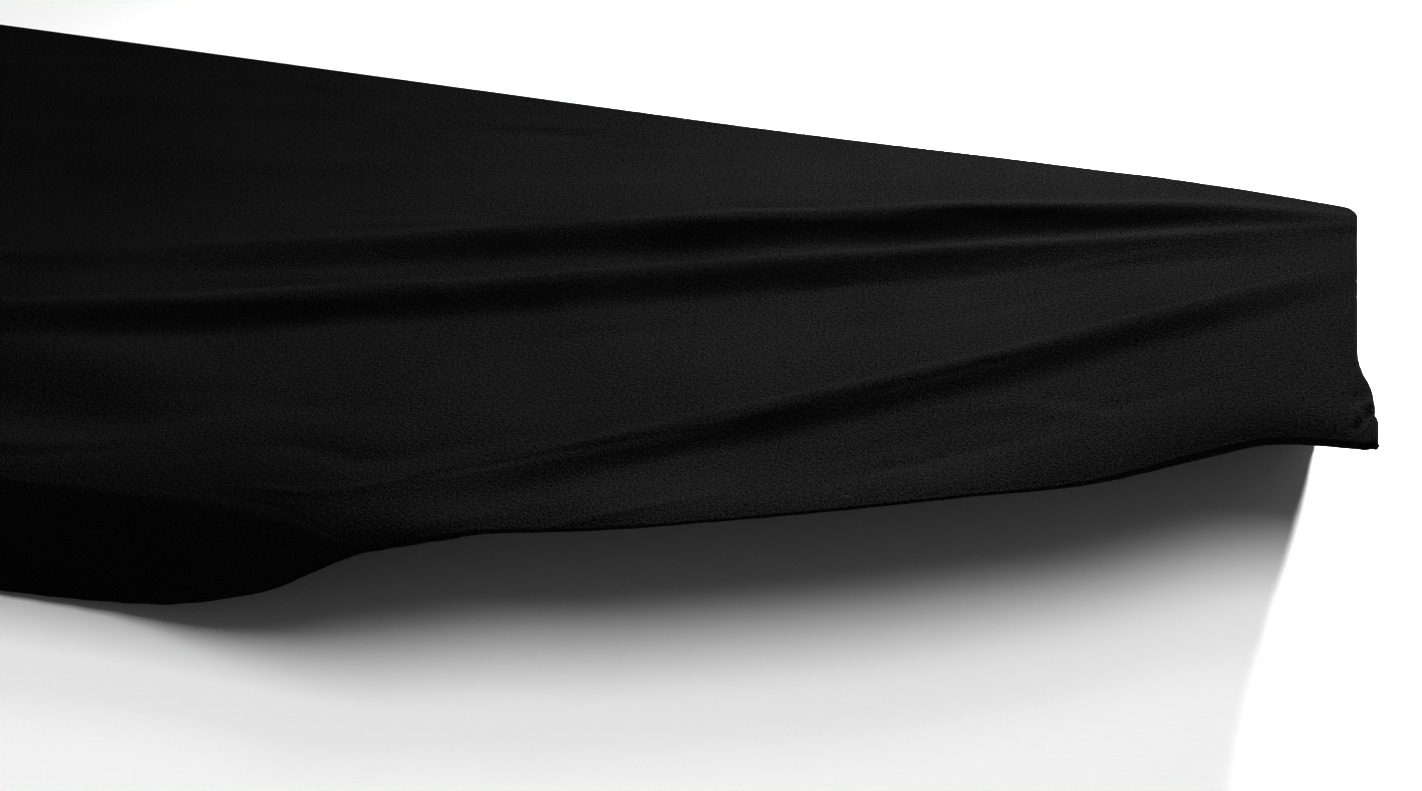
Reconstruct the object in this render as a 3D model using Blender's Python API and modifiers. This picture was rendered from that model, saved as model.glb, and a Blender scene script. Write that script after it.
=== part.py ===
"""Keyboard dust cover: a fitted cover of black stretch knit, in the shape in which it hangs in use.

It is pulled back from the front right: its hem crosses the top as a slanting rolled edge, bunches at the
right end, and drops down the front wall further left. Three pull folds fan out from the right back corner.

Metres, +X to the right end, +Y to the back, +Z up. The origin is on the underside of the top panel, at the
middle of the cover's length and depth, where the cover is held up from inside.
"""

from collections import namedtuple

import bmesh
import bpy
import numpy as np

# Driving sizes
LENGTH = 0.926  # over the two end walls
DEPTH = 0.285  # over the front and back walls
CLOTH = 0.0015  # the knit's thickness
WALL_HEIGHT = 0.075  # the back wall, from the top panel to the hem's underside
EDGE_RADIUS = 0.002  # of the top panel's edge at the back and the ends
FRONT_RADIUS = 0.003  # the same along the front and the slanting hem
HEM_RADIUS = 0.003  # of the rolled hem
HEM_TURN = 0.022  # cloth that the elastic draws in under the walls
HEM_RISE = 0.1  # how much that cloth climbs as it goes in
MITRE_REACH = 3.0  # it leans to a corner's mitre within this many times its width
KNIT_COLOUR = (0.013, 0.013, 0.014, 1.0)
KNIT_ROUGHNESS = 0.92

# The top panel's section: height of the cloth under its folds, from the back edge forward
Crown = namedtuple("Crown", "from_back height")
CROWN = (
    Crown(0.000, 0.0200),
    Crown(0.060, 0.0172),
    Crown(0.131, 0.0150),
    Crown(0.226, 0.0120),
    Crown(0.262, 0.0072),
    Crown(0.285, 0.0018),
)

# The three pull folds: where each crest runs and how high it stands, at these distances from the right end
FROM_END = (0.00, 0.06, 0.16, 0.28, 0.40, 0.52, 0.70, 0.926)
Fold = namedtuple("Fold", "name from_back height")
FOLDS = (
    Fold(
        "upper",
        from_back=(0.003, 0.009, 0.032, 0.067, 0.106, 0.143, 0.185, 0.215),
        height=(0.0005, 0.0020, 0.0032, 0.0034, 0.0030, 0.0016, 0.0006, 0.0),
    ),
    Fold(
        "middle",
        from_back=(0.010, 0.028, 0.059, 0.097, 0.138, 0.176, 0.220, 0.245),
        height=(0.0005, 0.0026, 0.0040, 0.0044, 0.0042, 0.0036, 0.0018, 0.0),
    ),
    Fold(
        "lower",
        from_back=(0.033, 0.069, 0.132, 0.200, 0.260, 0.279, 0.280, 0.280),
        height=(0.0010, 0.0036, 0.0050, 0.0050, 0.0036, 0.0008, 0.0, 0.0),
    ),
)
FOLD_RISE = 0.034  # a fold climbs this far behind its crest
FOLD_SWELL = 1.5  # and the more of that near the crest, the larger this is
FOLD_FALL = 0.011  # it drops this far in front of its crest
FOLD_TROUGH = 0.30  # depth of the trough in front, as a share of the fold's height

# The front edge: how far from the back the cloth reaches, its skirt's drop, and how far its hem turns in
FrontEdge = namedtuple("FrontEdge", "from_end from_back drop turn")
FRONT_EDGE = (
    FrontEdge(0.000, 0.142, 0.008, 0.004),
    FrontEdge(0.010, 0.146, 0.008, 0.004),
    FrontEdge(0.032, 0.149, 0.008, 0.004),
    FrontEdge(0.062, 0.166, 0.008, 0.004),
    FrontEdge(0.100, 0.188, 0.008, 0.004),
    FrontEdge(0.174, 0.219, 0.008, 0.004),
    FrontEdge(0.247, 0.2415, 0.008, 0.004),
    FrontEdge(0.320, 0.262, 0.008, 0.004),
    FrontEdge(0.366, 0.277, 0.009, 0.005),
    FrontEdge(0.390, 0.284, 0.018, 0.008),
    FrontEdge(0.414, 0.285, 0.032, 0.012),
    FrontEdge(0.450, 0.285, 0.045, 0.017),
    FrontEdge(0.500, 0.285, 0.054, 0.022),
    FrontEdge(0.560, 0.285, 0.0568, 0.022),
    FrontEdge(0.926, 0.285, 0.0568, 0.022),
)

# The right end: its wall's drop and turned-in hem, and how far its edge bulges out and lifts in the bunch
EndEdge = namedtuple("EndEdge", "from_back drop turn bulge lift")
END_EDGE = (
    EndEdge(0.000, 0.075, 0.022, 0.0, 0.0),
    EndEdge(0.050, 0.071, 0.022, 0.0, 0.0),
    EndEdge(0.095, 0.045, 0.013, 0.0, 0.0),
    EndEdge(0.106, 0.032, 0.009, 0.0018, 0.001),
    EndEdge(0.119, 0.017, 0.006, 0.0062, 0.002),
    EndEdge(0.127, 0.012, 0.005, 0.0056, -0.001),
    EndEdge(0.134, 0.010, 0.004, 0.0092, 0.0015),
    EndEdge(0.142, 0.008, 0.004, 0.0082, -0.001),
)
BUNCH_REACH = 0.030  # the bunch fades out this far in from the end

# The grid: how finely the cloth is divided along its length, from the right end to the left
Zone = namedtuple("Zone", "name end columns")
ZONES = (
    Zone("bunch", 0.050, 6),
    Zone("slanting hem", 0.340, 12),
    Zone("dropping hem", 0.460, 10),
    Zone("plain left", 0.926, 11),
)
ROWS_ACROSS_FOLD = (-0.6, 0.0, 0.33, 0.67, 1.0)  # from its crest, as shares of its fall
ROWS_BEFORE_FOLD = (3, 2, 3)
ROWS_BEFORE_EDGE = 8
LEAST_ROW = 0.0016  # between two rows where the folds run together


def curve(places, values, at):
    """The smooth curve through a table's points, without overshoot, at each of the places given."""
    places = np.asarray(places, float)
    values = np.asarray(values, float)
    slopes = np.diff(values) / np.diff(places)
    same_way = slopes[:-1] * slopes[1:] > 0
    mean = 2 * slopes[:-1] * slopes[1:] / np.where(same_way, slopes[:-1] + slopes[1:], 1)
    tangents = np.concatenate((slopes[:1], np.where(same_way, mean, 0), slopes[-1:]))
    at = np.clip(at, places[0], places[-1])
    part = np.clip(np.searchsorted(places, at, side="right") - 1, 0, len(places) - 2)
    width = places[part + 1] - places[part]
    t = (at - places[part]) / width
    start = (1 + 2 * t) * (1 - t) ** 2 * values[part] + t * (1 - t) ** 2 * width * tangents[part]
    end = t * t * (3 - 2 * t) * values[part + 1] + t * t * (t - 1) * width * tangents[part + 1]
    return start + end


def look_up(table, name, at):
    """A table's named column as a smooth curve over its first column."""
    return curve([row[0] for row in table], [getattr(row, name) for row in table], at)


def ease(t):
    """From 0 to 1 with a level start and end."""
    t = np.clip(t, 0, 1)
    return t * t * (3 - 2 * t)


def fold_lift(fold, from_end, from_back):
    """How far a pull fold lifts the cloth: a long rise behind its crest, a short fall and a trough ahead."""
    height = curve(FROM_END, fold.height, from_end)
    ahead = from_back - curve(FROM_END, fold.from_back, from_end)
    rise = ease(1 + ahead / FOLD_RISE) ** FOLD_SWELL
    fall = 1 - (1 + FOLD_TROUGH) * ease(ahead / FOLD_FALL)
    recovery = FOLD_TROUGH * ease((ahead - FOLD_FALL) / FOLD_RISE)
    return height * np.where(ahead < 0, rise, fall + recovery)


def bunch_share(from_end):
    """How much of the right end's bunch reaches a place, from 1 at the end to 0 inside."""
    return 1 - ease(from_end / BUNCH_REACH)


def top_height(from_end, from_back):
    """Height of the top panel's outer face, measured as in its section's table."""
    folds = sum(fold_lift(fold, from_end, from_back) for fold in FOLDS)
    bunch = look_up(END_EDGE, "lift", from_back) * bunch_share(from_end)
    return look_up(CROWN, "height", from_back) + folds + bunch


ORIGIN_HEIGHT = float(top_height(LENGTH / 2, DEPTH / 2)) - CLOTH


def top_point(from_end, from_back):
    """The point of the top panel at these distances from its right end and its back edge."""
    x = LENGTH / 2 - EDGE_RADIUS - from_end * (1 - 2 * EDGE_RADIUS / LENGTH)
    y = DEPTH / 2 - EDGE_RADIUS - from_back * (1 - (EDGE_RADIUS + FRONT_RADIUS) / DEPTH)
    bulge = look_up(END_EDGE, "bulge", from_back) * bunch_share(from_end)
    return np.array((x + bulge, y, top_height(from_end, from_back) - ORIGIN_HEIGHT))


def columns():
    """Distances of the grid's columns from the right end."""
    marks = [0.0]
    for zone in ZONES:
        marks += list(np.linspace(marks[-1], zone.end, zone.columns + 1)[1:])
    return marks


def rows(from_end):
    """Distances of the grid's rows from the back edge at one column. Rows run along the folds' flanks."""
    marks = [0.0]
    for fold, between in zip(FOLDS, ROWS_BEFORE_FOLD):
        crest = float(curve(FROM_END, fold.from_back, from_end))
        flank = [crest + FOLD_FALL * share for share in ROWS_ACROSS_FOLD]
        marks += list(np.linspace(marks[-1], flank[0], between + 2)[1:-1]) + flank
    front = float(look_up(FRONT_EDGE, "from_back", from_end))
    marks += list(np.linspace(marks[-1], front, ROWS_BEFORE_EDGE + 2)[1:])
    for i in range(1, len(marks)):
        marks[i] = max(marks[i], marks[i - 1] + LEAST_ROW)
    marks[-1] = front
    for i in range(len(marks) - 2, 0, -1):
        marks[i] = min(marks[i], marks[i + 1] - LEAST_ROW)
    return marks


def border(last_column, last_row):
    """The grid's border as (column, row), once round: back edge, left end, front edge, right end."""
    back = [(i, 0) for i in range(last_column)]
    left = [(last_column, j) for j in range(last_row)]
    front = [(i, last_row) for i in range(last_column, 0, -1)]
    right = [(0, j) for j in range(last_row, 0, -1)]
    return back + left + front + right


def skirt_sizes(from_end, from_back, side):
    """(drop, edge radius, turn) of the skirt at one point of the panel's border."""
    if side == "front":
        return look_up(FRONT_EDGE, "drop", from_end), FRONT_RADIUS, look_up(FRONT_EDGE, "turn", from_end)
    if side == "right":
        forward = ease(from_back / END_EDGE[-1].from_back)
        radius = EDGE_RADIUS + (FRONT_RADIUS - EDGE_RADIUS) * forward
        return look_up(END_EDGE, "drop", from_back), radius, look_up(END_EDGE, "turn", from_back)
    drop = top_height(from_end, from_back) - CROWN[0].height + WALL_HEIGHT
    return drop, EDGE_RADIUS, HEM_TURN


def skirt_profile(drop, edge_radius, turn):
    """Steps (outward, down) of the skirt: over the edge, down the wall, round the hem and in under it."""
    half = np.sqrt(0.5)
    wall_foot = drop - HEM_RADIUS
    hem_centre = edge_radius - HEM_RADIUS
    return (
        (edge_radius * half, edge_radius * (1 - half)),
        (edge_radius, edge_radius),
        (edge_radius, (edge_radius + wall_foot) / 2),
        (edge_radius, wall_foot),
        (hem_centre + HEM_RADIUS * half, wall_foot + HEM_RADIUS * half),
        (hem_centre, drop),
        (hem_centre - turn, drop - HEM_RISE * turn),
    )


def wall_normal(start, end):
    """The direction away from the panel, in plan, beside one stretch of its border."""
    along = (end - start)[:2] / np.linalg.norm((end - start)[:2])
    return np.array((along[1], -along[0], 0.0))


def outward_directions(outline, corners, turns):
    """The direction away from the panel at each border point.

    It leans to a mitre near the corners, so that the two turned-in hems that meet there share one seam.
    """
    before = [wall_normal(outline[n - 1], outline[n]) for n in range(len(outline))]
    after = before[1:] + before[:1]
    mitres = [(a + b) / (1 + a @ b) for a, b in zip(before, after)]
    steps = [np.linalg.norm((b - a)[:2]) for a, b in zip(outline, outline[1:] + outline[:1])]
    travelled = np.concatenate(((0.0,), np.cumsum(steps)))
    directions = list(mitres)
    for corner in corners:
        for n, mitre in enumerate(mitres):
            apart = abs(travelled[n] - travelled[corner])
            share = 1 - min(apart, travelled[-1] - apart) / (MITRE_REACH * turns[corner])
            if n not in corners and share > 0:
                directions[n] = mitre + (mitres[corner] - mitre) * share
    return directions


def skirt_points(marks, lines):
    """The skirt's points under each border place of the grid, ring by ring from the top down."""
    last_column, last_row = len(marks) - 1, len(lines[0]) - 1
    places = border(last_column, last_row)
    outline = [top_point(marks[i], lines[i][j]) for i, j in places]
    sizes = []
    for i, j in places:
        side = "front" if j == last_row else "right" if i == 0 < j else "full"
        sizes.append([float(size) for size in skirt_sizes(marks[i], lines[i][j], side)])
    corners = [n for n, (i, j) in enumerate(places) if i in (0, last_column) and j in (0, last_row)]
    directions = outward_directions(outline, corners, [turn for drop, radius, turn in sizes])
    points = {}
    for place, start, outward, size in zip(places, outline, directions, sizes):
        steps = skirt_profile(*size)
        points[place] = [start + outward * out - np.array((0, 0, down)) for out, down in steps]
    return points


def cover_surface():
    """The cloth's outer face as one open surface: the top panel's grid, and its skirt drawn out of it."""
    marks = columns()
    lines = [rows(mark) for mark in marks]
    last_column, last_row = len(marks) - 1, len(lines[0]) - 1
    bm = bmesh.new()
    bmesh.ops.create_grid(bm, x_segments=last_column, y_segments=last_row, size=1)
    column = bm.verts.layers.int.new("column")
    row = bm.verts.layers.int.new("row")
    for vert in bm.verts:
        vert[column] = round((1 - vert.co.x) / 2 * last_column)
        vert[row] = round((1 - vert.co.y) / 2 * last_row)
        vert.co = top_point(marks[vert[column]], lines[vert[column]][vert[row]])

    skirt = skirt_points(marks, lines)
    for ring in range(len(skirt[0, 0])):
        edges = [edge for edge in bm.edges if edge.is_boundary]
        made = bmesh.ops.extrude_edge_only(bm, edges=edges)["geom"]
        for vert in (item for item in made if isinstance(item, bmesh.types.BMVert)):
            vert.co = skirt[vert[column], vert[row]][ring]
    mesh = bpy.data.meshes.new("cover")
    bm.to_mesh(mesh)
    bm.free()
    mesh.shade_smooth()
    return mesh


def knit_material():
    material = bpy.data.materials.new("black stretch knit")
    material.use_nodes = True
    shader = material.node_tree.nodes["Principled BSDF"]
    shader.inputs["Base Color"].default_value = KNIT_COLOUR
    shader.inputs["Roughness"].default_value = KNIT_ROUGHNESS
    shader.inputs["Metallic"].default_value = 0.0
    return material


def main():
    for obj in list(bpy.data.objects):
        bpy.data.objects.remove(obj)
    collection = bpy.data.collections.new("keyboard dust cover")
    bpy.context.scene.collection.children.link(collection)
    cover = bpy.data.objects.new("cover", cover_surface())
    cover.data.materials.append(knit_material())
    collection.objects.link(cover)
    shell = cover.modifiers.new("cloth thickness", "SOLIDIFY")
    shell.thickness = CLOTH
    shell.offset = -1


main()
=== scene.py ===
from collections import namedtuple

import bmesh
import bpy
import numpy as np
from mathutils import Matrix, Vector


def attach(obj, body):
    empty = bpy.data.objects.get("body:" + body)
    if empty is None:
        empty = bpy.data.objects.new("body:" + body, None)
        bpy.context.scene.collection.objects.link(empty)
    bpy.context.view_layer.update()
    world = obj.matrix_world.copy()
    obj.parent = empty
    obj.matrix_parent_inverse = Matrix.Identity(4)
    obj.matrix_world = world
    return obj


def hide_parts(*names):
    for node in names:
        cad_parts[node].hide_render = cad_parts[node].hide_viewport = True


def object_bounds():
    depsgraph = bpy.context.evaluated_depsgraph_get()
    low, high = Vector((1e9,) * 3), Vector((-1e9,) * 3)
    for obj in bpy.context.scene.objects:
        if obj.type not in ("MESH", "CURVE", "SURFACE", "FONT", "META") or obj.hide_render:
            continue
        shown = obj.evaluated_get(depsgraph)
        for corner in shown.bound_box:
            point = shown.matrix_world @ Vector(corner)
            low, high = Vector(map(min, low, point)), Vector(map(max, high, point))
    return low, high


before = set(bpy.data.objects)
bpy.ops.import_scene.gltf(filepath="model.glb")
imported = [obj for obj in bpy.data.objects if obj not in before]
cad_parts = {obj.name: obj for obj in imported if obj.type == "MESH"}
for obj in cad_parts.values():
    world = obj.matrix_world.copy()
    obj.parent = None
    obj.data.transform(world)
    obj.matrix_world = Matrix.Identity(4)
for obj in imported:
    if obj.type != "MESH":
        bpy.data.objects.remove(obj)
cad_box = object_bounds()


# The top panel: one cut of black stretch knit, drawn tight over what it covers and cut in one with the walls,
# so that it has no seam at its edges. Its section falls from the high back edge to the lower front. Places on
# it are from_end, metres from its right end, and from_back, metres from its back edge.
LENGTH = 0.926
DEPTH = 0.285
BACK_RADIUS = 0.002  # of the panel's edge along the back and the ends
FRONT_RADIUS = 0.003  # the same along the front, where it is sharpest
SET_BACK_POWER = 4  # a rounder front edge starts further back, which moves the front of the panel's grid most
ORIGIN_HEIGHT = 0.01405  # of the frame's origin, over the front edge's level

Crown = namedtuple("Crown", "from_back height")
CROWN = (
    Crown(0.000, 0.0200),
    Crown(0.030, 0.0194),
    Crown(0.060, 0.0183),
    Crown(0.131, 0.0143),
    Crown(0.200, 0.0121),
    Crown(0.235, 0.0111),
    Crown(0.262, 0.0096),
    Crown(0.285, 0.0074),
    Crown(0.293, 0.0061),
)


def curve(places, values, at):
    """The smooth curve through a table's points, without overshoot, at each of the places given."""
    places = np.asarray(places, float)
    values = np.asarray(values, float)
    slopes = np.diff(values) / np.diff(places)
    same_way = slopes[:-1] * slopes[1:] > 0
    mean = 2 * slopes[:-1] * slopes[1:] / np.where(same_way, slopes[:-1] + slopes[1:], 1)
    tangents = np.concatenate((slopes[:1], np.where(same_way, mean, 0), slopes[-1:]))
    at = np.clip(at, places[0], places[-1])
    part = np.clip(np.searchsorted(places, at, side="right") - 1, 0, len(places) - 2)
    width = places[part + 1] - places[part]
    t = (at - places[part]) / width
    start = (1 + 2 * t) * (1 - t) ** 2 * values[part] + t * (1 - t) ** 2 * width * tangents[part]
    end = t * t * (3 - 2 * t) * values[part + 1] + t * t * (t - 1) * width * tangents[part + 1]
    return start + end


def look_up(table, name, at):
    """A table's named column as a smooth curve over its first column."""
    return curve([row[0] for row in table], [getattr(row, name) for row in table], at)


def ease(t):
    """From 0 to 1 with a level start and end."""
    t = np.clip(t, 0, 1)
    return t * t * (3 - 2 * t)


# The three pull folds: the same knit, drawn up into ridges as the cover was dragged back from the front
# right. They fan out from the right back corner. Each swells slowly behind its crest, with a narrow ridge on
# it, and drops sharply in front.
FROM_END = (0.00, 0.06, 0.16, 0.28, 0.34, 0.40, 0.52, 0.70, 0.926)
Fold = namedtuple("Fold", "from_back height")
FOLDS = (
    Fold(  # the upper one
        from_back=(0.0055, 0.0155, 0.0405, 0.0760, 0.0945, 0.1135, 0.1475, 0.190, 0.219),
        height=(0.0003, 0.0030, 0.0051, 0.0053, 0.0048, 0.0038, 0.0014, 0.0005, 0.0),
    ),
    Fold(  # the middle one
        from_back=(0.0120, 0.0330, 0.0640, 0.1035, 0.1250, 0.1460, 0.1840, 0.225, 0.248),
        height=(0.0003, 0.0023, 0.0032, 0.0042, 0.0050, 0.0054, 0.0050, 0.0020, 0.0),
    ),
    Fold(  # the lower one
        from_back=(0.0395, 0.0775, 0.1405, 0.2085, 0.2415, 0.2645, 0.2760, 0.282, 0.284),
        height=(0.0010, 0.0034, 0.0046, 0.0040, 0.0014, 0.0002, 0.0, 0.0, 0.0),
    ),
)
FOLD_RISE = 0.080  # a fold climbs slowly this far behind its crest
FOLD_SWELL = 0.70  # by this share of its height
RIDGE_WIDTH = 0.0036  # and over this last stretch to its crest, a narrow ridge
RIDGE_SHARE = 0.07  # by this share
FOLD_FALL = 0.020  # it drops by its whole height this far in front of its crest, into a shallow trough
FOLD_WANDER = 0.0006  # how far a crest strays from its smooth line
FOLD_UNEVEN = 0.12  # how much its height varies, as a share
WANDER_STEP = 0.028  # between one stray and the next
SEED = 61  # of all the random draws below
uneven = np.random.default_rng(SEED)


def drift(from_end, step):
    """A smooth random run between -1 and 1 along the cover's length, with a new value at each step."""
    knots = np.arange(-step, LENGTH + 2 * step, step)
    return curve(knots, uneven.uniform(-1, 1, len(knots)), from_end)


def fold_lift(fold, from_end, from_back):
    """How far a pull fold lifts the cloth."""
    height = curve(FROM_END, fold.height, from_end) * (1 + FOLD_UNEVEN * drift(from_end, WANDER_STEP))
    crest = curve(FROM_END, fold.from_back, from_end) + FOLD_WANDER * drift(from_end, WANDER_STEP)
    ahead = from_back - crest
    crest_height = FOLD_SWELL + RIDGE_SHARE
    behind = FOLD_SWELL * ease(1 + ahead / FOLD_RISE) + RIDGE_SHARE * ease(1 + ahead / RIDGE_WIDTH)
    fall = crest_height - ease(ahead / FOLD_FALL)
    recovery = (1 - crest_height) * ease((ahead - FOLD_FALL) / FOLD_RISE)
    return height * np.where(ahead < 0, behind, fall + recovery)


# The creases round the folds: ridges and troughs that the pull leaves in the knit, from fine ones to broad
# swells. Each runs through the places given and fades out at both ends. Above zero its height makes a ridge,
# below zero a trough.
Crease = namedtuple("Crease", "from_end from_back width height")
CREASES = (
    # fine ones over the middle of the cover
    Crease((0.430, 0.494, 0.561, 0.640), (0.026, 0.034, 0.046, 0.064), 0.0050, 0.0003),
    Crease((0.440, 0.500, 0.566, 0.650), (0.036, 0.044, 0.057, 0.076), 0.0050, -0.0003),
    Crease((0.400, 0.446, 0.503, 0.589), (0.061, 0.069, 0.078, 0.094), 0.0050, 0.0002),
    Crease((0.480, 0.526, 0.570), (0.094, 0.102, 0.112), 0.0040, -0.0003),
    Crease((0.280, 0.345, 0.435, 0.500), (0.040, 0.058, 0.076, 0.092), 0.0030, -0.0002),
    Crease((0.500, 0.525, 0.558, 0.620), (0.158, 0.162, 0.167, 0.176), 0.0080, -0.0006),
    Crease((0.440, 0.463, 0.520, 0.600), (0.246, 0.256, 0.268, 0.274), 0.0040, 0.0003),
    # a broad swell with a trough in front of it, towards the front edge
    Crease((0.430, 0.480, 0.540, 0.660), (0.208, 0.211, 0.213, 0.218), 0.0150, 0.0018),
    Crease((0.430, 0.480, 0.540, 0.660), (0.244, 0.247, 0.249, 0.252), 0.0150, -0.0023),
    # fine ones where the lower fold dies out
    Crease((0.380, 0.410, 0.435, 0.480), (0.222, 0.228, 0.226, 0.230), 0.0050, -0.0003),
    Crease((0.335, 0.363, 0.385, 0.402, 0.430), (0.237, 0.2535, 0.268, 0.279, 0.284), 0.0022, 0.0003),
    Crease((0.310, 0.350, 0.380, 0.430), (0.214, 0.233, 0.247, 0.256), 0.0050, -0.0005),
    # two broad swells along the slanting hem
    Crease((0.070, 0.170, 0.240, 0.330), (0.176, 0.2205, 0.245, 0.266), 0.0180, 0.0020),
    Crease((0.250, 0.300, 0.345, 0.390), (0.248, 0.263, 0.277, 0.288), 0.0160, 0.0018),
    # what makes the upper and middle folds' crests sharper towards the right end
    Crease((-0.100, 0.000, 0.060, 0.160, 0.280), (-0.0112, 0.0065, 0.0165, 0.0415, 0.0770), 0.0045, 0.0006),
    Crease((-0.100, 0.000, 0.060, 0.160, 0.280), (-0.0230, 0.0130, 0.0340, 0.0650, 0.1045), 0.0045, 0.0006),
    Crease((-0.020, 0.030, 0.070, 0.130, 0.180), (0.0145, 0.0215, 0.0288, 0.0435, 0.0570), 0.0055, -0.0006),
    # fine ones between the lower fold and the slanting hem
    Crease((0.085, 0.110, 0.135), (0.151, 0.149, 0.150), 0.0040, -0.0003),
    Crease((0.075, 0.121, 0.165), (0.155, 0.155, 0.168), 0.0050, 0.0003),
    Crease((0.155, 0.168, 0.185), (0.197, 0.201, 0.206), 0.0025, -0.00025),
    Crease((0.160, 0.175, 0.190), (0.193, 0.197, 0.202), 0.0025, 0.00015),
    # the bunch: a ridge, the sharp crease in front of it and the dent behind it
    Crease((-0.004, 0.001, 0.003, 0.0045, 0.0080), (0.121, 0.127, 0.130, 0.1335, 0.140), 0.0040, 0.0010),
    Crease((-0.004, 0.001, 0.003, 0.0045, 0.0075), (0.126, 0.131, 0.134, 0.1380, 0.144), 0.0022, -0.0014),
    Crease((-0.003, 0.0005, 0.0040, 0.0080), (0.1180, 0.1210, 0.1235, 0.1260), 0.0028, -0.0007),
)
CREASE_END = 0.3  # share of a crease's length over which it fades at each end


def crease_lift(crease, from_end, from_back):
    """How far one crease lifts the cloth."""
    ahead = from_back - curve(crease.from_end, crease.from_back, from_end)
    fade = CREASE_END * (crease.from_end[-1] - crease.from_end[0])
    share = ease((from_end - crease.from_end[0]) / fade) * ease((crease.from_end[-1] - from_end) / fade)
    return crease.height * share * np.exp(-((ahead / crease.width) ** 2))


# The finest marks: short stretch streaks all over the knit, which fan out from the pulled corner like the
# folds. Nobody placed them one by one, so they are scattered at random along the way the cloth is drawn.
STREAKS = 130
STREAK_LENGTHS = (0.05, 0.16)
STREAK_WIDTHS = (0.0016, 0.0042)
STREAK_HEIGHT = 0.00038
LEAST_STREAK = 0.3  # share of that height that the faintest has
STREAK_BEND = 0.0015  # how far its two ends stray from a straight line
STREAK_MARGIN = 0.01  # kept free along the back and the front
RIGHT_MARGIN = 0.04  # and at the right end
FAN_CENTRE = -0.02  # from the right end, where the lines of the fan meet at the back edge
FAN_REACH = 0.40  # further from the end than about this, the streaks run nearly along the cover
PLAIN_SLANT = 0.20
STEEPEST_SLANT = 0.60


def slant(from_end, from_back):
    """Which way the cloth is drawn at a place: how far forward for each metre away from the right end."""
    fan = from_back / (from_end - FAN_CENTRE)
    return min(PLAIN_SLANT + (fan - PLAIN_SLANT) * np.exp(-((from_end / FAN_REACH) ** 2)), STEEPEST_SLANT)


def random_streak():
    """One streak, as a crease between two places."""
    length = uneven.uniform(*STREAK_LENGTHS)
    width = uneven.uniform(*STREAK_WIDTHS)
    start = uneven.uniform(RIGHT_MARGIN, LENGTH - length)
    middle_end = start + length / 2
    middle_back = uneven.uniform(STREAK_MARGIN, DEPTH - STREAK_MARGIN)
    places = np.array((start, middle_end, start + length))
    bend = uneven.uniform(-STREAK_BEND, STREAK_BEND)
    line = middle_back + slant(middle_end, middle_back) * (places - middle_end)
    line += np.array((bend, 0, bend))
    height = STREAK_HEIGHT * uneven.uniform(LEAST_STREAK, 1) * uneven.choice((-1, 1))
    return Crease(tuple(places), tuple(line), width, height)


CREASES += tuple(random_streak() for n in range(STREAKS))


# The front hem: it slants over the top from the bunch at the right end, where the cover is pulled back, and
# then drops down the front wall to its full depth. Elastic in it rolls the knit's edge under. Near the bunch
# nothing holds it up, so there the cloth droops towards it.
FrontEdge = namedtuple("FrontEdge", "from_end from_back drop turn radius")
FRONT_EDGE = (
    FrontEdge(0.000, 0.1480, 0.0030, 0.004, 0.0020),
    FrontEdge(0.010, 0.1468, 0.0040, 0.004, 0.0022),
    FrontEdge(0.030, 0.1500, 0.0038, 0.004, 0.0022),
    FrontEdge(0.058, 0.1634, 0.0042, 0.004, 0.0022),
    FrontEdge(0.100, 0.1896, 0.0024, 0.005, 0.0014),
    FrontEdge(0.140, 0.2082, 0.0016, 0.006, 0.0008),
    FrontEdge(0.174, 0.2232, 0.0015, 0.006, 0.0008),
    FrontEdge(0.247, 0.2492, 0.0015, 0.006, 0.0008),
    FrontEdge(0.290, 0.2630, 0.0018, 0.006, 0.0008),
    FrontEdge(0.320, 0.2692, 0.0024, 0.006, 0.0010),
    FrontEdge(0.345, 0.2778, 0.0026, 0.006, 0.0020),
    FrontEdge(0.366, 0.2847, 0.0038, 0.006, 0.0022),
    FrontEdge(0.378, 0.2880, 0.0090, 0.007, 0.0058),
    FrontEdge(0.390, 0.2900, 0.0165, 0.008, 0.0120),
    FrontEdge(0.397, 0.2902, 0.0222, 0.009, 0.0152),
    FrontEdge(0.404, 0.2902, 0.0267, 0.010, 0.0180),
    FrontEdge(0.420, 0.2892, 0.0347, 0.013, 0.0190),
    FrontEdge(0.450, 0.2862, 0.0478, 0.017, 0.0130),
    FrontEdge(0.480, 0.2850, 0.0560, 0.020, 0.0090),
    FrontEdge(0.500, 0.2850, 0.0585, 0.022, 0.0070),
    FrontEdge(0.560, 0.2850, 0.0615, 0.022, 0.0065),
    FrontEdge(0.926, 0.2850, 0.0615, 0.022, 0.0065),
)
Droop = namedtuple("Droop", "from_end depth reach")
DROOP = (
    Droop(0.000, 0.0004, 0.012),
    Droop(0.012, 0.0018, 0.015),
    Droop(0.030, 0.0024, 0.018),
    Droop(0.070, 0.0034, 0.028),
    Droop(0.110, 0.0034, 0.032),
    Droop(0.180, 0.0003, 0.014),
    Droop(0.320, 0.0004, 0.012),
    Droop(0.345, 0.0012, 0.014),
    Droop(0.366, 0.0022, 0.018),
    Droop(0.390, 0.0005, 0.020),
    Droop(0.926, 0.0005, 0.020),
)
DROOP_POWER = 2


def droop_fall(from_end, from_back):
    """How far the cloth sinks towards its front hem."""
    front = look_up(FRONT_EDGE, "from_back", from_end)
    reach = look_up(DROOP, "reach", from_end)
    return look_up(DROOP, "depth", from_end) * np.clip(1 - (front - from_back) / reach, 0, 1) ** DROOP_POWER


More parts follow.
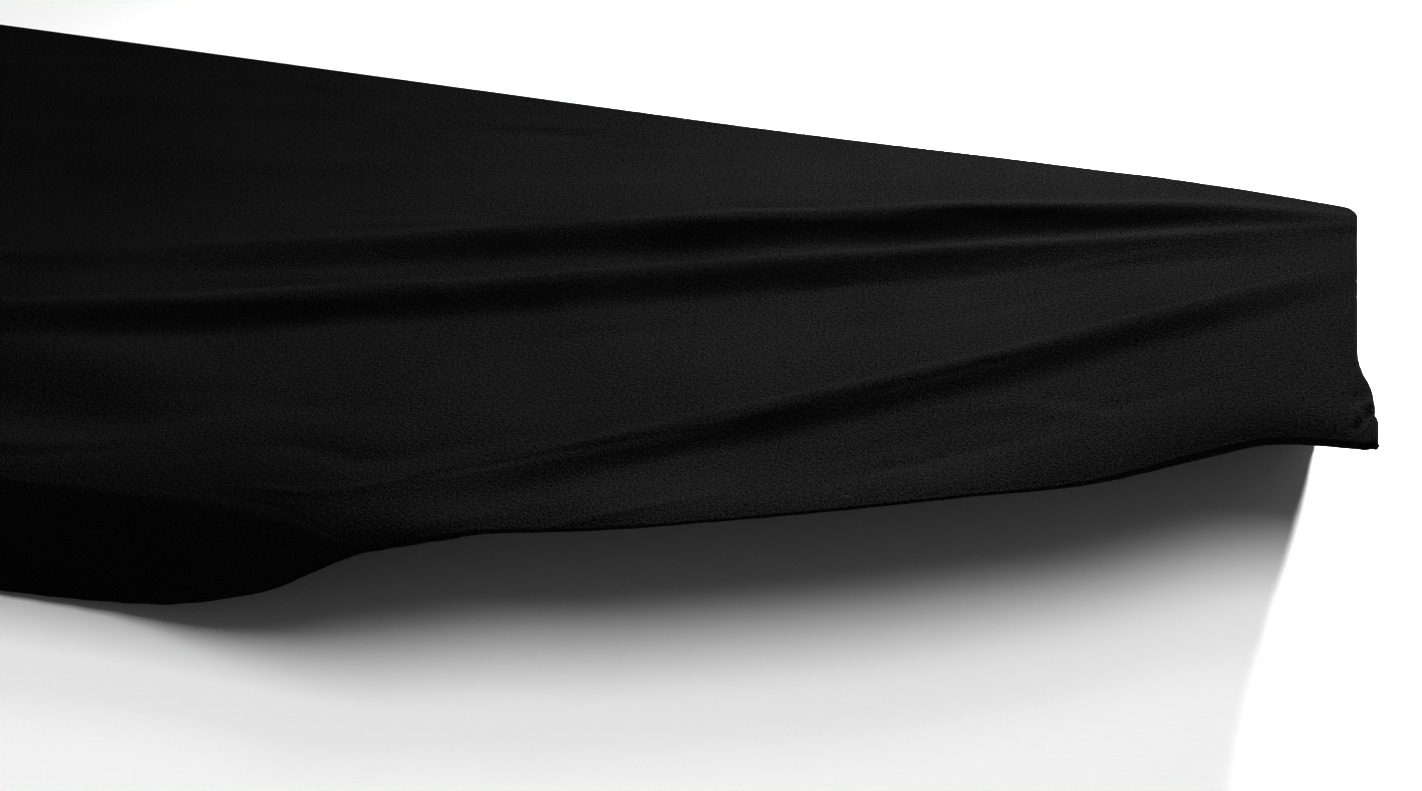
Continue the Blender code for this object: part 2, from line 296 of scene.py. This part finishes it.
# The bunch at the right end: the slack knit of the end wall, pushed together where the hem runs out over the
# top. It stands out past the wall in two lobes with a sharp crease between them.
EndEdge = namedtuple("EndEdge", "from_back drop turn bulge")
END_EDGE = (
    EndEdge(0.000, 0.075, 0.022, 0.0),
    EndEdge(0.050, 0.071, 0.022, 0.0),
    EndEdge(0.095, 0.045, 0.013, 0.0),
    EndEdge(0.106, 0.032, 0.009, 0.0020),
    EndEdge(0.114, 0.023, 0.007, 0.0052),
    EndEdge(0.120, 0.018, 0.006, 0.0064),
    EndEdge(0.128, 0.014, 0.005, 0.0068),
    EndEdge(0.134, 0.010, 0.004, 0.0082),
    EndEdge(0.148, 0.003, 0.004, 0.0080),
)
BUNCH_REACH = 0.026  # the bunch fades out this far in from the end


def bunch_share(from_end):
    """How much of the right end's bunch reaches a place, from 1 at the end to 0 inside."""
    return 1 - ease(from_end / BUNCH_REACH)


def top_height(from_end, from_back):
    """Height of the cloth on top."""
    height = look_up(CROWN, "height", from_back)
    for fold in FOLDS:
        height += fold_lift(fold, from_end, from_back)
    for crease in CREASES:
        height += crease_lift(crease, from_end, from_back)
    return height - droop_fall(from_end, from_back)


# The grid that the cloth is cut into: its rows run along the folds, so that each crest is one line of them,
# and its columns stand closest at the bunch and at the rounded corners.
CORNER_RADIUS = 0.004
Zone = namedtuple("Zone", "end columns")
ZONES = (
    Zone(CORNER_RADIUS, 4),  # the right corners
    Zone(0.016, 14),  # the bunch's lobes
    Zone(0.050, 18),  # the rest of the bunch
    Zone(0.460, 120),  # the slanting hem
    Zone(LENGTH - CORNER_RADIUS, 80),  # the plain left
    Zone(LENGTH, 4),  # the left corners
)
ROWS_IN_CORNER = 4
ROWS_BEFORE_FOLD = (34, 18, 38)
ROWS_BEFORE_EDGE = 44
LEAST_ROW = 0.0003
CROWDING = 0.5  # how much closer the rows stand at a crest than halfway between two


def column_marks():
    """Distances of the grid's columns from the right end."""
    marks = [0.0]
    for zone in ZONES:
        marks += list(np.linspace(marks[-1], zone.end, zone.columns + 1)[1:])
    return np.array(marks)


def row_marks(columns):
    """Distances of the grid's rows from the back edge, column by column."""
    corner = np.linspace(0, CORNER_RADIUS, ROWS_IN_CORNER + 1)
    lines = [np.full(len(columns), CORNER_RADIUS)]
    lines += [np.maximum(curve(FROM_END, fold.from_back, columns), CORNER_RADIUS) for fold in FOLDS]
    lines += [look_up(FRONT_EDGE, "from_back", columns)]
    parts = [np.tile(corner, (len(columns), 1))]
    for near, far, count in zip(lines, lines[1:], (*ROWS_BEFORE_FOLD, ROWS_BEFORE_EDGE)):
        share = np.arange(1, count + 1) / count
        share -= CROWDING * np.sin(2 * np.pi * share) / (2 * np.pi)
        parts.append(near[:, None] + (far - near)[:, None] * share)
    marks = np.concatenate(parts, axis=1)
    for row in range(1, marks.shape[1]):
        marks[:, row] = np.maximum(marks[:, row], marks[:, row - 1] + LEAST_ROW)
    marks[:, -1] = lines[-1]
    for row in range(marks.shape[1] - 2, 0, -1):
        marks[:, row] = np.minimum(marks[:, row], marks[:, row + 1] - LEAST_ROW)
    return marks


def rounded(across, along):
    """Moves places within CORNER_RADIUS of both edges of a square corner onto a round one."""
    u = np.clip(1 - across / CORNER_RADIUS, 0, 1)
    v = np.clip(1 - along / CORNER_RADIUS, 0, 1)
    shift_across = CORNER_RADIUS * u * (1 - np.sqrt(1 - v * v / 2))
    shift_along = CORNER_RADIUS * v * (1 - np.sqrt(1 - u * u / 2))
    return across + shift_across, along + shift_along


columns = column_marks()
from_back = row_marks(columns)
from_end = np.repeat(columns[:, None], from_back.shape[1], axis=1)
front = from_back[:, -1:]
fitted_end = from_end.copy()
fitted_back = from_back.copy()
for right, back in ((True, True), (True, False), (False, True), (False, False)):
    across = fitted_end if right else LENGTH - fitted_end
    along = fitted_back if back else front - fitted_back
    across, along = rounded(across, along)
    fitted_end = across if right else LENGTH - across
    fitted_back = along if back else front - along

top = np.stack(
    (
        LENGTH / 2 - BACK_RADIUS - fitted_end * (1 - 2 * BACK_RADIUS / LENGTH)
        + look_up(END_EDGE, "bulge", from_back) * bunch_share(from_end),
        DEPTH / 2 - BACK_RADIUS - fitted_back * (1 - (BACK_RADIUS + FRONT_RADIUS) / DEPTH),
        top_height(from_end, from_back) - ORIGIN_HEIGHT,
    ),
    axis=-1,
)
set_back = (look_up(FRONT_EDGE, "radius", from_end) - FRONT_RADIUS) * (from_back / front) ** SET_BACK_POWER


# The walls and the hem: the same knit carried over the panel's edge and down, then rolled in under the walls,
# where elastic in a narrow casing gathers it. At the corners it is drawn together in a mitre.
WALL_HEIGHT = 0.075
HEM_RADIUS = 0.003
HEM_SHARE = 0.4  # of the drop, at most, that the hem's radius takes where the drop is short
HEM_TURN = 0.022  # how far the cloth goes on under the wall at full depth
HEM_RISE = 0.1  # share of that by which its inner edge stands higher
MITRE_REACH = 3.0  # the cloth leans into a corner from this many turns away
FLARE = 0.004  # how far the front wall's foot stands off where the hem starts to climb
FLARE_MIDDLE = 0.435
FLARE_REACH = 0.035
FLARE_FROM = 0.3  # share of the wall's height, from the top, at which it starts to stand off
FLARE_OVER = 0.6  # and share over which it does
CASING_WIDTH = 0.007
CASING_SHARE = 0.4  # of the turned-in cloth, at most
CASING_DEPTH = 0.0022
CASING_STEP = 0.0003  # how far its lower layer starts inside its upper one
GATHER = 0.0013  # how deep the elastic gathers the turned-in cloth
PUCKER = 0.0004  # and how far those gathers still show on the wall's foot
PUCKER_REACH = 0.02  # up the wall
GATHER_LENGTHS = (0.014, 0.022)  # shortest and longest gather
LEAST_GATHER = 0.4  # share of its depth that the weakest gather has
GATHERS_ALIKE = 3  # their strength changes after this many
GATHER_FADE = 0.03  # the gathers end this far from the corners
EDGE_STEPS = (0.15, 0.35, 0.55, 0.75, 1.0)  # places of the mesh's rings, as shares of each stretch
WALL_STEPS = (0.25, 0.5, 0.7, 0.85, 1.0)
ROLL_STEPS = (1 / 3, 2 / 3, 1.0)
TURN_STEPS = (0.5, 1.0)

last_column = len(columns) - 1
last_row = from_back.shape[1] - 1
border = [(i, 0) for i in range(last_column)]
border += [(last_column, j) for j in range(last_row)]
border += [(i, last_row) for i in range(last_column, 0, -1)]
border += [(0, j) for j in range(last_row, 0, -1)]
square = np.array([top[place] for place in border])
top[..., 1] += set_back
outline = np.array([top[place] for place in border])
border_end = np.array([from_end[place] for place in border])
border_back = np.array([from_back[place] for place in border])
on_front = np.array([j == last_row for i, j in border])
on_right = np.array([i == 0 < j < last_row for i, j in border])

full_drop = outline[:, 2] + ORIGIN_HEIGHT - CROWN[0].height + WALL_HEIGHT
drop = np.where(on_front, look_up(FRONT_EDGE, "drop", border_end), full_drop)
drop = np.where(on_right, look_up(END_EDGE, "drop", border_back), drop)
turn = np.where(on_front, look_up(FRONT_EDGE, "turn", border_end), HEM_TURN)
turn = np.where(on_right, look_up(END_EDGE, "turn", border_back), turn)
end_radius = BACK_RADIUS + (FRONT_RADIUS - BACK_RADIUS) * ease(border_back / END_EDGE[-1].from_back)
radius = np.where(on_right, end_radius, BACK_RADIUS)
radius = np.where(on_front, look_up(FRONT_EDGE, "radius", border_end), radius)
hem_radius = np.minimum(HEM_RADIUS, HEM_SHARE * drop)

steps = np.roll(square, -1, axis=0) - square
lengths = np.linalg.norm(steps[:, :2], axis=1)
after = np.stack((steps[:, 1], -steps[:, 0], np.zeros(len(steps))), axis=1) / lengths[:, None]
before = np.roll(after, 1, axis=0)
outward = (before + after) / (1 + np.sum(before * after, axis=1))[:, None]
travelled = np.concatenate(((0.0,), np.cumsum(lengths)))
inward = outward.copy()
corners = [n for n, (i, j) in enumerate(border) if i in (0, last_column) and j in (0, last_row)]
reach_apart = []
for corner in corners:
    i, j = border[corner]
    mitre = np.array((1.0 if i == 0 else -1.0, 1.0 if j == 0 else -1.0, 0.0))
    apart = np.abs(travelled[:-1] - travelled[corner])
    apart = np.minimum(apart, travelled[-1] - apart)
    reach_apart.append(apart)
    share = np.clip(1 - apart / (MITRE_REACH * turn[corner]), 0, 1)[:, None]
    inward += (mitre - inward) * share

gather_steps = uneven.uniform(*GATHER_LENGTHS, int(travelled[-1] / GATHER_LENGTHS[0]) + 1)
gather_ends = np.concatenate(((0.0,), np.cumsum(gather_steps)))
phase = np.interp(travelled[:-1], gather_ends, 2 * np.pi * np.arange(len(gather_ends)))
changes = gather_ends[::GATHERS_ALIKE]
strength = curve(changes, uneven.uniform(LEAST_GATHER, 1.0, len(changes)), travelled[:-1])
away = ease(np.min(reach_apart, axis=0) / GATHER_FADE)
gather = np.sin(phase) * strength * away * turn / HEM_TURN

wall_foot = drop - hem_radius
flare = np.where(on_front, FLARE * np.exp(-(((border_end - FLARE_MIDDLE) / FLARE_REACH) ** 2)), 0)
hem_centre = radius + flare - hem_radius
no_turn = np.zeros(len(border))
rings = []
for step in EDGE_STEPS:
    angle = step * np.pi / 2
    rings.append((radius * np.sin(angle), radius * (1 - np.cos(angle)), no_turn))
for step in WALL_STEPS:
    down = radius + (wall_foot - radius) * step
    pucker = PUCKER * gather * ease((down - wall_foot) / PUCKER_REACH + 1)
    stand_off = flare * ease((step - FLARE_FROM) / FLARE_OVER)
    rings.append((radius + pucker + stand_off, down, no_turn))
for step in ROLL_STEPS:
    angle = step * np.pi / 2
    out = hem_centre + hem_radius * np.cos(angle) + PUCKER * gather
    rings.append((out, wall_foot + hem_radius * np.sin(angle), no_turn))
hem_scale = turn / HEM_TURN
for step in TURN_STEPS:
    climb = HEM_RISE * turn + GATHER * (gather + 1) * hem_scale
    rings.append((hem_centre, drop - climb * step, turn * step))
casing = np.minimum(CASING_WIDTH, CASING_SHARE * turn)
casing_down = drop - climb - CASING_DEPTH * hem_scale
rings.append((hem_centre, casing_down, turn + CASING_STEP))
rings.append((hem_centre, casing_down, turn - casing))


def cloth_mesh():
    """The cloth's outer face: the top panel's grid, and its skirt drawn out of it ring by ring."""
    bm = bmesh.new()
    bmesh.ops.create_grid(bm, x_segments=last_column, y_segments=last_row, size=1)
    column = bm.verts.layers.int.new("column")
    row = bm.verts.layers.int.new("row")
    along = bm.verts.layers.float.new("along")
    across = bm.verts.layers.float.new("across")
    for vert in bm.verts:
        vert[column] = round((1 - vert.co.x) / 2 * last_column)
        vert[row] = round((1 - vert.co.y) / 2 * last_row)
        vert.co = top[vert[column], vert[row]]
        vert[along] = from_end[vert[column], vert[row]]
        vert[across] = from_back[vert[column], vert[row]]
    number = {place: n for n, place in enumerate(border)}
    previous = outline
    unrolled = np.zeros(len(border))
    for out, down, inside in rings:
        points = outline + outward * out[:, None] - inward * inside[:, None]
        points[:, 2] -= down
        unrolled = unrolled + np.linalg.norm(points - previous, axis=1)
        previous = points
        edges = [edge for edge in bm.edges if edge.is_boundary]
        made = bmesh.ops.extrude_edge_only(bm, edges=edges)["geom"]
        for vert in (item for item in made if isinstance(item, bmesh.types.BMVert)):
            n = number[vert[column], vert[row]]
            vert.co = points[n]
            vert[along] = border_end[n] - outward[n][0] * unrolled[n]
            vert[across] = border_back[n] - outward[n][1] * unrolled[n]
    pattern = bm.loops.layers.uv.new("knit")
    for face in bm.faces:
        for loop in face.loops:
            loop[pattern].uv = (loop.vert[along], loop.vert[across])
    mesh = bpy.data.meshes.new("cover_cloth")
    bm.to_mesh(mesh)
    bm.free()
    mesh.shade_smooth()
    return mesh


# The knit's finish: a fine, matt, nearly black jersey of dyed yarn with a short nap. The nap glows where it
# is seen edge on, at the crests and the rim, and the loops and loose fibres give it a fine speckle. It is one
# layer of thin cloth all over.
WALE = 0.0009  # width of one column of stitches
COURSE = 0.00066  # height of one stitch
STITCH_LEAN = 0.8  # how far a stitch's two legs lean, in stitches
STITCH_SLIP = 0.35  # how far it strays from its row, in stitches
HALF_WALE = 0.5  # each leg of a stitch takes up half of its column
SPECKLE_SCALE = 1000  # waves in a metre of the loose fibres' speckle
SLIP_SCALE = 260  # of the rows' waver
DYE_SCALE = 14  # and of the dye's slow changes
SPECKLE_DETAIL = 2.0
SLIP_DETAIL = 1.0
DYE_DETAIL = 3.0
LEAST_STITCH = 0.35  # how far a stitch still shows between two loops
SPECKLE_SHARE = 0.86  # of the yarn's tone that comes from the speckle
STITCH_SHARE = 0.10  # that comes from the stitches
DYE_UNEVEN = 0.06  # and how much the dye adds or takes away
DARK_YARN = (0.0003, 0.0003, 0.0003, 1)
PALE_YARN = (0.0034, 0.0034, 0.0034, 1)
DARK_AT = 0.32  # below this the yarn has its dark tone
PALE_AT = 0.62  # and above this its pale one
LEAST_ROUGH = 0.85
KNIT_GLOSS = 0.0
NAP_SHEEN = 0.005
NAP_ROUGHNESS = 0.35
STITCH_RELIEF = 0.12  # a stitch's height beside that of the speckle
RELIEF_DEPTH = 0.0005
KNIT_THICKNESS = 0.0007


def knit_material():
    """Black jersey: stitches from the cloth's flat pattern, with speckled yarn and slow changes of tone."""
    material = bpy.data.materials.new("black stretch knit")
    material.use_nodes = True
    nodes = material.node_tree.nodes
    links = material.node_tree.links
    shader = nodes["Principled BSDF"]
    shader.inputs["Specular IOR Level"].default_value = KNIT_GLOSS
    shader.inputs["Sheen Weight"].default_value = NAP_SHEEN
    shader.inputs["Sheen Roughness"].default_value = NAP_ROUGHNESS

    def joined(node, *sources):
        for socket, source in zip(node.inputs, sources):
            if hasattr(source, "links"):
                links.new(source, socket)
            else:
                socket.default_value = source
        return node.outputs[0]

    def maths(operation, *sources):
        node = nodes.new("ShaderNodeMath")
        node.operation = operation
        return joined(node, *sources)

    def noise(vector, scale, detail):
        node = nodes.new("ShaderNodeTexNoise")
        node.inputs["Scale"].default_value = scale
        node.inputs["Detail"].default_value = detail
        links.new(vector, node.inputs["Vector"])
        return node.outputs["Fac"]

    def between(source, low, high):
        node = nodes.new("ShaderNodeMapRange")
        node.inputs["To Min"].default_value = low
        node.inputs["To Max"].default_value = high
        links.new(source, node.inputs["Value"])
        return node.outputs["Result"]

    pattern = nodes.new("ShaderNodeUVMap")
    pattern.uv_map = "knit"
    place = pattern.outputs["UV"]
    split = nodes.new("ShaderNodeSeparateXYZ")
    links.new(place, split.inputs["Vector"])
    speckle = noise(place, SPECKLE_SCALE, SPECKLE_DETAIL)
    slow = noise(place, DYE_SCALE, DYE_DETAIL)

    slip = between(noise(place, SLIP_SCALE, SLIP_DETAIL), -STITCH_SLIP, STITCH_SLIP)
    wale = maths("ADD", maths("DIVIDE", split.outputs["X"], WALE), slip)
    course = maths("ADD", maths("DIVIDE", split.outputs["Y"], COURSE), slip)
    leg = maths("DIVIDE", maths("PINGPONG", wale, HALF_WALE), HALF_WALE)
    leaning = maths("ADD", course, maths("MULTIPLY", leg, STITCH_LEAN))
    loop = maths("SINE", maths("MULTIPLY", leaning, 2 * np.pi))
    ridge = maths("SINE", maths("MULTIPLY", leg, np.pi))
    stitch = maths("MULTIPLY", between(loop, LEAST_STITCH, 1.0), ridge)

    yarn = maths("ADD", maths("MULTIPLY", speckle, SPECKLE_SHARE), maths("MULTIPLY", stitch, STITCH_SHARE))
    yarn = maths("ADD", yarn, between(slow, -DYE_UNEVEN, DYE_UNEVEN))
    tone = nodes.new("ShaderNodeValToRGB")
    tone.color_ramp.elements[0].position = DARK_AT
    tone.color_ramp.elements[0].color = DARK_YARN
    tone.color_ramp.elements[1].position = PALE_AT
    tone.color_ramp.elements[1].color = PALE_YARN
    links.new(yarn, tone.inputs["Fac"])
    links.new(tone.outputs["Color"], shader.inputs["Base Color"])
    links.new(between(yarn, LEAST_ROUGH, 1.0), shader.inputs["Roughness"])

    bump = nodes.new("ShaderNodeBump")
    bump.inputs["Strength"].default_value = 1.0
    bump.inputs["Distance"].default_value = RELIEF_DEPTH
    links.new(maths("ADD", maths("MULTIPLY", stitch, STITCH_RELIEF), speckle), bump.inputs["Height"])
    links.new(bump.outputs["Normal"], shader.inputs["Normal"])
    return material


cover_cloth = bpy.data.objects.new("cover_cloth", cloth_mesh())
bpy.context.scene.collection.objects.link(cover_cloth)
cover_cloth.data.materials.append(knit_material())
thickness = cover_cloth.modifiers.new("knit thickness", "SOLIDIFY")
thickness.thickness = KNIT_THICKNESS
thickness.offset = -1  # all of it inside the face that is drawn above
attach(cover_cloth, "root")
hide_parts("cover")


# The floor under the cover, and the studio round it: plain, pale and soft. The light comes mostly from low
# behind the right end, where it draws out the folds, with a weak one above it and a wide one overhead.
FLOOR_REACH = 12  # from its middle to its edges
FLOOR_GAP = 0.0002  # under the lowest hem
FLOOR_COLOUR = (0.94, 0.94, 0.94, 1)
FLOOR_ROUGHNESS = 0.9
ROOM_COLOUR = (1, 1, 1, 1)
ROOM_STRENGTH = 0.15

floor_mesh = bpy.data.meshes.new("floor")
floor_bmesh = bmesh.new()
bmesh.ops.create_grid(floor_bmesh, x_segments=1, y_segments=1, size=FLOOR_REACH)
floor_bmesh.to_mesh(floor_mesh)
floor_bmesh.free()
floor = bpy.data.objects.new("floor", floor_mesh)
floor.location.z = cad_box[0].z - FLOOR_GAP
bpy.context.scene.collection.objects.link(floor)
floor_paint = bpy.data.materials.new("pale floor")
floor_paint.use_nodes = True
floor_shader = floor_paint.node_tree.nodes["Principled BSDF"]
floor_shader.inputs["Base Color"].default_value = FLOOR_COLOUR
floor_shader.inputs["Roughness"].default_value = FLOOR_ROUGHNESS
floor_mesh.materials.append(floor_paint)

world = bpy.data.worlds.new("pale room")
world.use_nodes = True
world.node_tree.nodes["Background"].inputs["Color"].default_value = ROOM_COLOUR
world.node_tree.nodes["Background"].inputs["Strength"].default_value = ROOM_STRENGTH
bpy.context.scene.world = world

Lamp = namedtuple("Lamp", "name place aim width height power spread")
LAMPS = (
    Lamp("back softbox", (0.58, 1.01, 0.35), (0.29, -0.06, 0.0), 0.30, 0.22, 15.5, 49),
    Lamp("high back softbox", (0.30, 1.6, 1.8), (0.1, 0.0, 0.0), 0.8, 0.6, 1.2, 60),
    Lamp("overhead", (0.0, -0.1, 2.8), (0.0, 0.0, 0.0), 2.4, 2.4, 70, 180),
)
for lamp in LAMPS:
    light = bpy.data.lights.new(lamp.name, "AREA")
    light.shape = "RECTANGLE"
    light.size = lamp.width
    light.size_y = lamp.height
    light.energy = lamp.power
    light.spread = np.radians(lamp.spread)
    holder = bpy.data.objects.new(lamp.name, light)
    holder.location = lamp.place
    holder.rotation_euler = (Vector(lamp.place) - Vector(lamp.aim)).to_track_quat("Z", "Y").to_euler()
    bpy.context.scene.collection.objects.link(holder)


# The camera: in front of the cover and right of its middle, looking down on it and a little to the left. It
# is where the photograph was taken from, which the perspective of the cover's straight edges gives.
SENSOR_WIDTH = 36
LENS = 63.46
PICTURE_RIGHT = (0.9820, 0.1857, 0.0343)
PICTURE_UP = (-0.1474, 0.6398, 0.7542)
TOWARDS_EYE = (0.1181, -0.7457, 0.6557)
EYE = (0.3264, -0.7822, 0.6550)

camera_data = bpy.data.cameras.new("camera")
camera_data.sensor_width = SENSOR_WIDTH
camera_data.lens = LENS
camera = bpy.data.objects.new("camera", camera_data)
turned = Matrix((PICTURE_RIGHT, PICTURE_UP, TOWARDS_EYE)).transposed().to_4x4()
camera.matrix_world = Matrix.Translation(EYE) @ turned
bpy.context.scene.collection.objects.link(camera)
bpy.context.scene.camera = camera
bpy.context.scene.view_settings.view_transform = "Standard"
